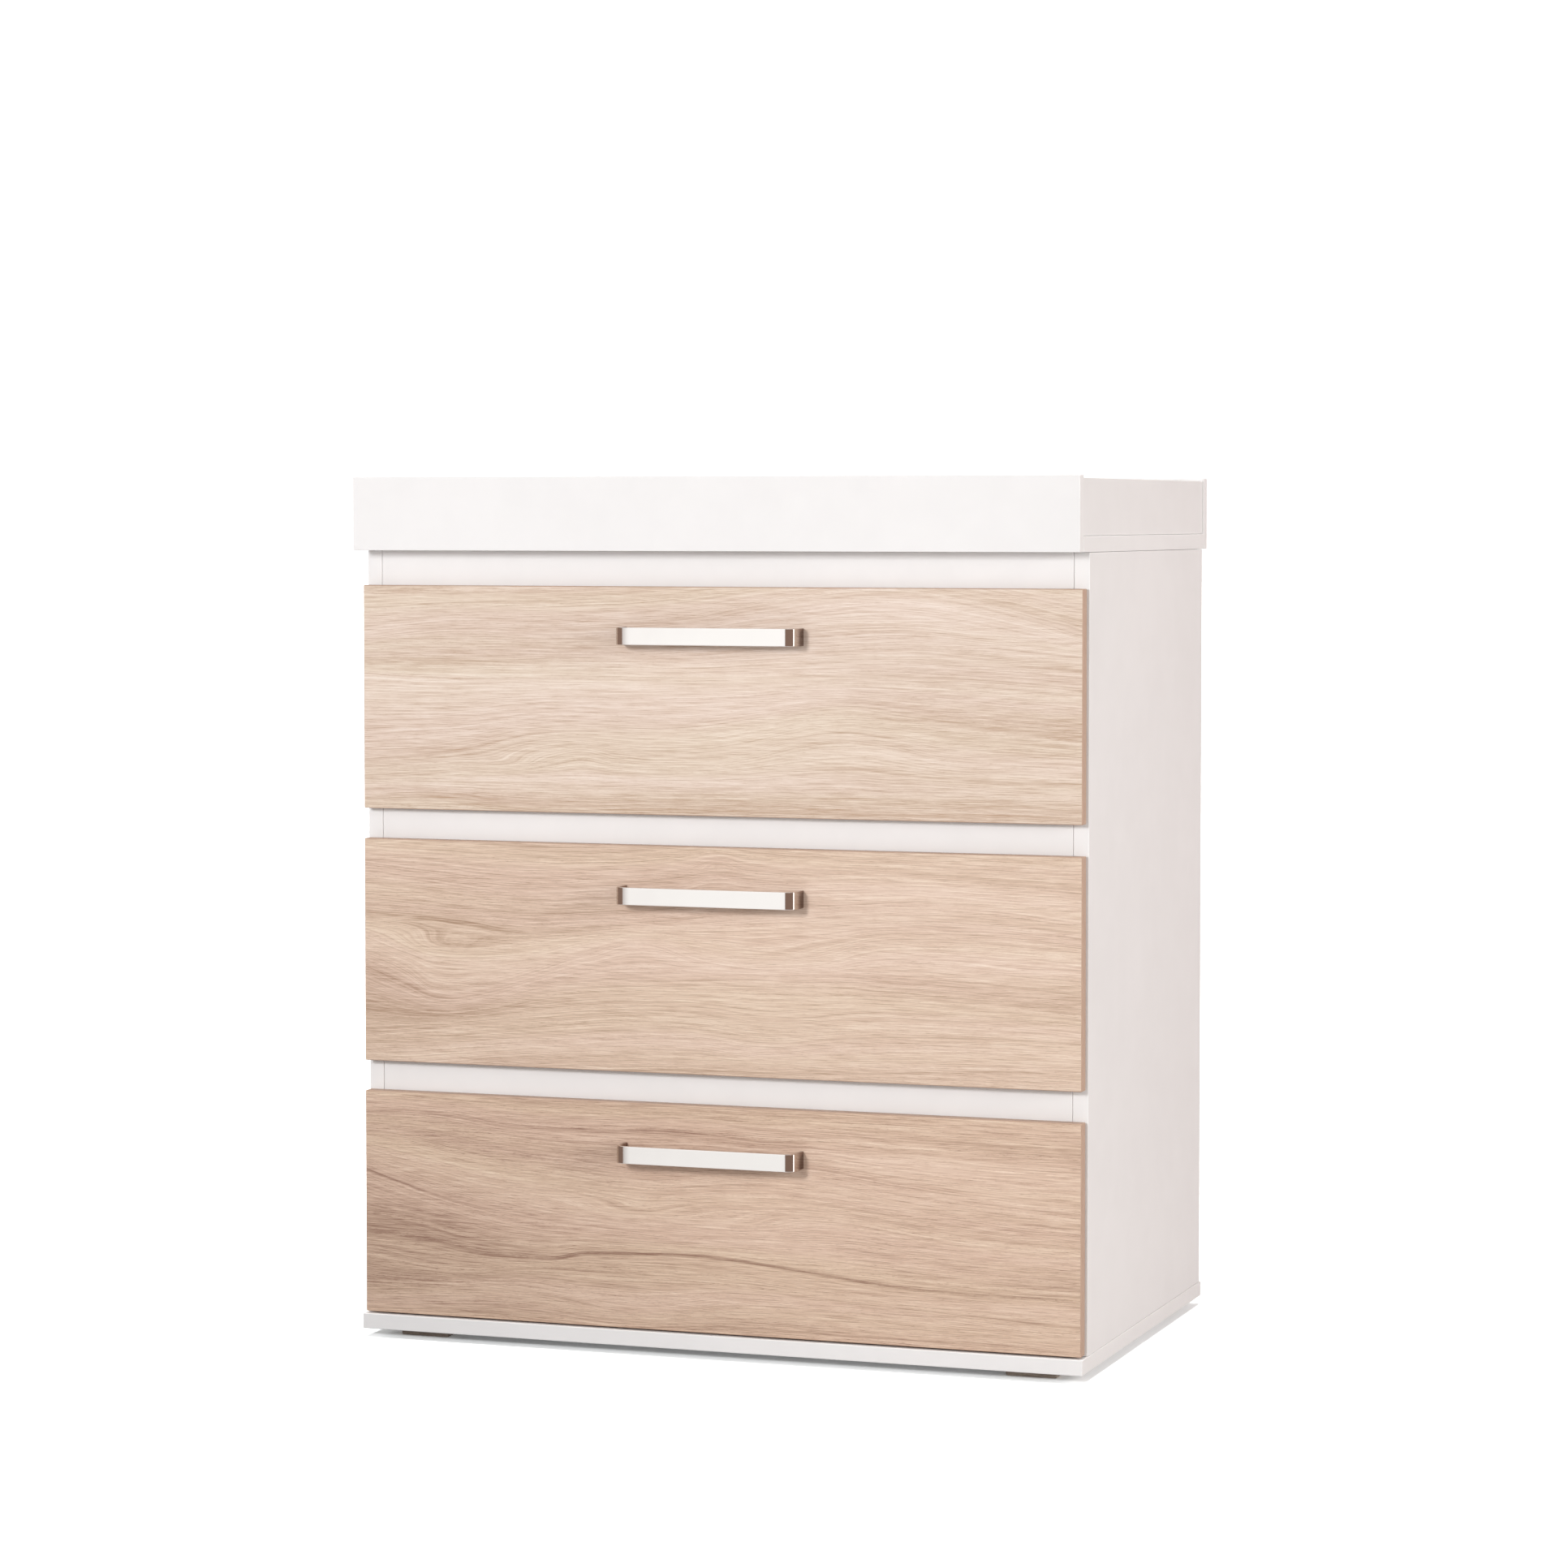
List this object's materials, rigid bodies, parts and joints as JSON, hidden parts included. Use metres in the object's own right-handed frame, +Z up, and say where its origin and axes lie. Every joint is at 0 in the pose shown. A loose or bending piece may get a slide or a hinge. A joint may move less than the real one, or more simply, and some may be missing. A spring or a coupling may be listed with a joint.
{
  "type": "changing table",
  "caption": "Changing table: a white chest of wood-fronted roller drawers with strap handles, block feet and a raised changing tray on top.",
  "frame": {"origin": "on the floor, under the middle of the whole table's box", "axes": "+X across the chest to the viewer's right, -Y out of the front where the drawers open, +Z up"},
  "size_m": [0.876, 0.584, 1.01],
  "materials": {
    "white_board": "satin white melamine on board, with matching edge band",
    "wood_front": "light ash wood decor with a long horizontal grain, matt",
    "handle_steel": "brushed along its length",
    "runner_enamel": "white enamel on folded steel",
    "roller_nylon": "moulded nylon",
    "hardboard": "thin raw hardboard, lacquered white on its inner face",
    "foot_block": "matt beige block"
  },
  "bodies": {
    "chest": {"base_panel": "white_board", "foot_front_left": "foot_block", "foot_front_right": "foot_block", "foot_back_left": "foot_block", "foot_back_right": "foot_block", "side_panel_left": "white_board", "side_panel_right": "white_board", "back_panel": "hardboard", "lower_rail": "white_board", "upper_rail": "white_board", "top_rail": "white_board", "rear_top_rail": "white_board", "tray_base": "white_board", "tray_front_board": "white_board", "tray_back_board": "white_board", "tray_side_board_left": "white_board", "tray_side_board_right": "white_board", "chest_runner_bottom_left": "runner_enamel", "chest_runner_bottom_right": "runner_enamel", "chest_runner_middle_left": "runner_enamel", "chest_runner_middle_right": "runner_enamel", "chest_runner_top_left": "runner_enamel", "chest_runner_top_right": "runner_enamel"},
    "drawer_bottom": {"drawer_front_bottom": "wood_front", "drawer_side_bottom_left": "white_board", "drawer_side_bottom_right": "white_board", "drawer_back_bottom": "white_board", "drawer_bottom_bottom": "hardboard", "handle_bottom": "handle_steel", "drawer_runner_bottom_left": "runner_enamel", "drawer_runner_bottom_right": "runner_enamel"},
    "front_roller_bottom_left": {"front_roller_bottom_left": "roller_nylon"},
    "front_roller_bottom_right": {"front_roller_bottom_right": "roller_nylon"},
    "rear_roller_bottom_left": {"rear_roller_bottom_left": "roller_nylon"},
    "rear_roller_bottom_right": {"rear_roller_bottom_right": "roller_nylon"},
    "drawer_middle": {"drawer_front_middle": "wood_front", "drawer_side_middle_left": "white_board", "drawer_side_middle_right": "white_board", "drawer_back_middle": "white_board", "drawer_bottom_middle": "hardboard", "handle_middle": "handle_steel", "drawer_runner_middle_left": "runner_enamel", "drawer_runner_middle_right": "runner_enamel"},
    "front_roller_middle_left": {"front_roller_middle_left": "roller_nylon"},
    "front_roller_middle_right": {"front_roller_middle_right": "roller_nylon"},
    "rear_roller_middle_left": {"rear_roller_middle_left": "roller_nylon"},
    "rear_roller_middle_right": {"rear_roller_middle_right": "roller_nylon"},
    "drawer_top": {"drawer_front_top": "wood_front", "drawer_side_top_left": "white_board", "drawer_side_top_right": "white_board", "drawer_back_top": "white_board", "drawer_bottom_top": "hardboard", "handle_top": "handle_steel", "drawer_runner_top_left": "runner_enamel", "drawer_runner_top_right": "runner_enamel"},
    "front_roller_top_left": {"front_roller_top_left": "roller_nylon"},
    "front_roller_top_right": {"front_roller_top_right": "roller_nylon"},
    "rear_roller_top_left": {"rear_roller_top_left": "roller_nylon"},
    "rear_roller_top_right": {"rear_roller_top_right": "roller_nylon"}
  },
  "joints": [
    {"name": "drawer_bottom_slide", "type": "slide", "parent": "chest", "child": "drawer_bottom", "axis": [0, -1, 0], "range_m": [0, 0.34]},
    {"name": "front_roller_bottom_left_turn", "type": "hinge", "parent": "chest", "child": "front_roller_bottom_left", "pos_m": [-0.4138, -0.2255, 0.0614], "axis": [1, 0, 0], "range_deg": [0, 1860]},
    {"name": "front_roller_bottom_right_turn", "type": "hinge", "parent": "chest", "child": "front_roller_bottom_right", "pos_m": [0.4138, -0.2255, 0.0614], "axis": [1, 0, 0], "range_deg": [0, 1860]},
    {"name": "rear_roller_bottom_left_turn", "type": "hinge", "parent": "drawer_bottom", "child": "rear_roller_bottom_left", "pos_m": [-0.4138, 0.1911, 0.0614], "axis": [1, 0, 0], "range_deg": [0, 1860]},
    {"name": "rear_roller_bottom_right_turn", "type": "hinge", "parent": "drawer_bottom", "child": "rear_roller_bottom_right", "pos_m": [0.4138, 0.1911, 0.0614], "axis": [1, 0, 0], "range_deg": [0, 1860]},
    {"name": "drawer_middle_slide", "type": "slide", "parent": "chest", "child": "drawer_middle", "axis": [0, -1, 0], "range_m": [0, 0.34]},
    {"name": "front_roller_middle_left_turn", "type": "hinge", "parent": "chest", "child": "front_roller_middle_left", "pos_m": [-0.4138, -0.2255, 0.3578], "axis": [1, 0, 0], "range_deg": [0, 1860]},
    {"name": "front_roller_middle_right_turn", "type": "hinge", "parent": "chest", "child": "front_roller_middle_right", "pos_m": [0.4138, -0.2255, 0.3578], "axis": [1, 0, 0], "range_deg": [0, 1860]},
    {"name": "rear_roller_middle_left_turn", "type": "hinge", "parent": "drawer_middle", "child": "rear_roller_middle_left", "pos_m": [-0.4138, 0.1911, 0.3578], "axis": [1, 0, 0], "range_deg": [0, 1860]},
    {"name": "rear_roller_middle_right_turn", "type": "hinge", "parent": "drawer_middle", "child": "rear_roller_middle_right", "pos_m": [0.4138, 0.1911, 0.3578], "axis": [1, 0, 0], "range_deg": [0, 1860]},
    {"name": "drawer_top_slide", "type": "slide", "parent": "chest", "child": "drawer_top", "axis": [0, -1, 0], "range_m": [0, 0.34]},
    {"name": "front_roller_top_left_turn", "type": "hinge", "parent": "chest", "child": "front_roller_top_left", "pos_m": [-0.4138, -0.2255, 0.6542], "axis": [1, 0, 0], "range_deg": [0, 1860]},
    {"name": "front_roller_top_right_turn", "type": "hinge", "parent": "chest", "child": "front_roller_top_right", "pos_m": [0.4138, -0.2255, 0.6542], "axis": [1, 0, 0], "range_deg": [0, 1860]},
    {"name": "rear_roller_top_left_turn", "type": "hinge", "parent": "drawer_top", "child": "rear_roller_top_left", "pos_m": [-0.4138, 0.1911, 0.6542], "axis": [1, 0, 0], "range_deg": [0, 1860]},
    {"name": "rear_roller_top_right_turn", "type": "hinge", "parent": "drawer_top", "child": "rear_roller_top_right", "pos_m": [0.4138, 0.1911, 0.6542], "axis": [1, 0, 0], "range_deg": [0, 1860]}
  ],
  "couplings": [
    {"joint": "front_roller_bottom_left_turn", "follows": "drawer_bottom_slide", "rad_per_m": 95.238},
    {"joint": "front_roller_bottom_right_turn", "follows": "drawer_bottom_slide", "rad_per_m": 95.238},
    {"joint": "rear_roller_bottom_left_turn", "follows": "drawer_bottom_slide", "rad_per_m": 95.238},
    {"joint": "rear_roller_bottom_right_turn", "follows": "drawer_bottom_slide", "rad_per_m": 95.238},
    {"joint": "front_roller_middle_left_turn", "follows": "drawer_middle_slide", "rad_per_m": 95.238},
    {"joint": "front_roller_middle_right_turn", "follows": "drawer_middle_slide", "rad_per_m": 95.238},
    {"joint": "rear_roller_middle_left_turn", "follows": "drawer_middle_slide", "rad_per_m": 95.238},
    {"joint": "rear_roller_middle_right_turn", "follows": "drawer_middle_slide", "rad_per_m": 95.238},
    {"joint": "front_roller_top_left_turn", "follows": "drawer_top_slide", "rad_per_m": 95.238},
    {"joint": "front_roller_top_right_turn", "follows": "drawer_top_slide", "rad_per_m": 95.238},
    {"joint": "rear_roller_top_left_turn", "follows": "drawer_top_slide", "rad_per_m": 95.238},
    {"joint": "rear_roller_top_right_turn", "follows": "drawer_top_slide", "rad_per_m": 95.238}
  ]
}
